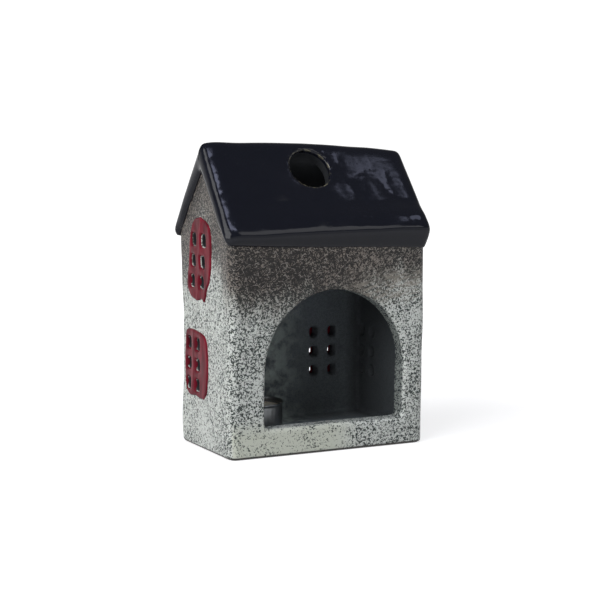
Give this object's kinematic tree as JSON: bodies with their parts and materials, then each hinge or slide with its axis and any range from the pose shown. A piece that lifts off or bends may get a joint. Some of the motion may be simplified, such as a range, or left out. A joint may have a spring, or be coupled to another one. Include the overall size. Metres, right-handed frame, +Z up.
{
  "type": "tealight house",
  "caption": "Slab-built stoneware house that holds a tealight: an arched mouth in the front wall, red glazed windows with small panes, and a steep dark roof with a round vent.",
  "frame": {"origin": "middle of the base, on the surface that the house stands on", "axes": "+Z up; the arched front faces -Y; +X to the right as seen from the front"},
  "size_m": [0.126, 0.0744, 0.1684],
  "materials": {
    "wall_glaze": "speckled grey-white stoneware glaze, brown under the eaves",
    "roof_glaze": "glossy blue-black glaze",
    "window_glaze": "glossy dark red glaze, brushed on",
    "cup_aluminium": "thin pressed sheet",
    "candle_wax": "poured paraffin wax",
    "wick_cotton": "braided cotton, waxed",
    "sustainer_metal": "tinned sheet"
  },
  "bodies": {
    "house": {"floor_slab": "wall_glaze", "front_wall": "wall_glaze", "back_wall": "wall_glaze", "left_gable_wall": "wall_glaze", "right_gable_wall": "wall_glaze", "front_roof_slab": "roof_glaze", "back_roof_slab": "roof_glaze", "left_upper_window_glaze": "window_glaze", "left_lower_window_glaze": "window_glaze", "right_upper_window_glaze": "window_glaze", "right_lower_window_glaze": "window_glaze", "back_left_window_glaze": "window_glaze", "back_right_window_glaze": "window_glaze"},
    "tealight": {"tealight_cup": "cup_aluminium", "tealight_wax": "candle_wax", "tealight_wick": "wick_cotton", "wick_sustainer": "sustainer_metal"}
  },
  "joints": [
    {"name": "tealight_lift_out", "type": "slide", "parent": "house", "child": "tealight", "axis": [0.383, -0.6634, 0.6428], "range_m": [0, 0.097]}
  ]
}
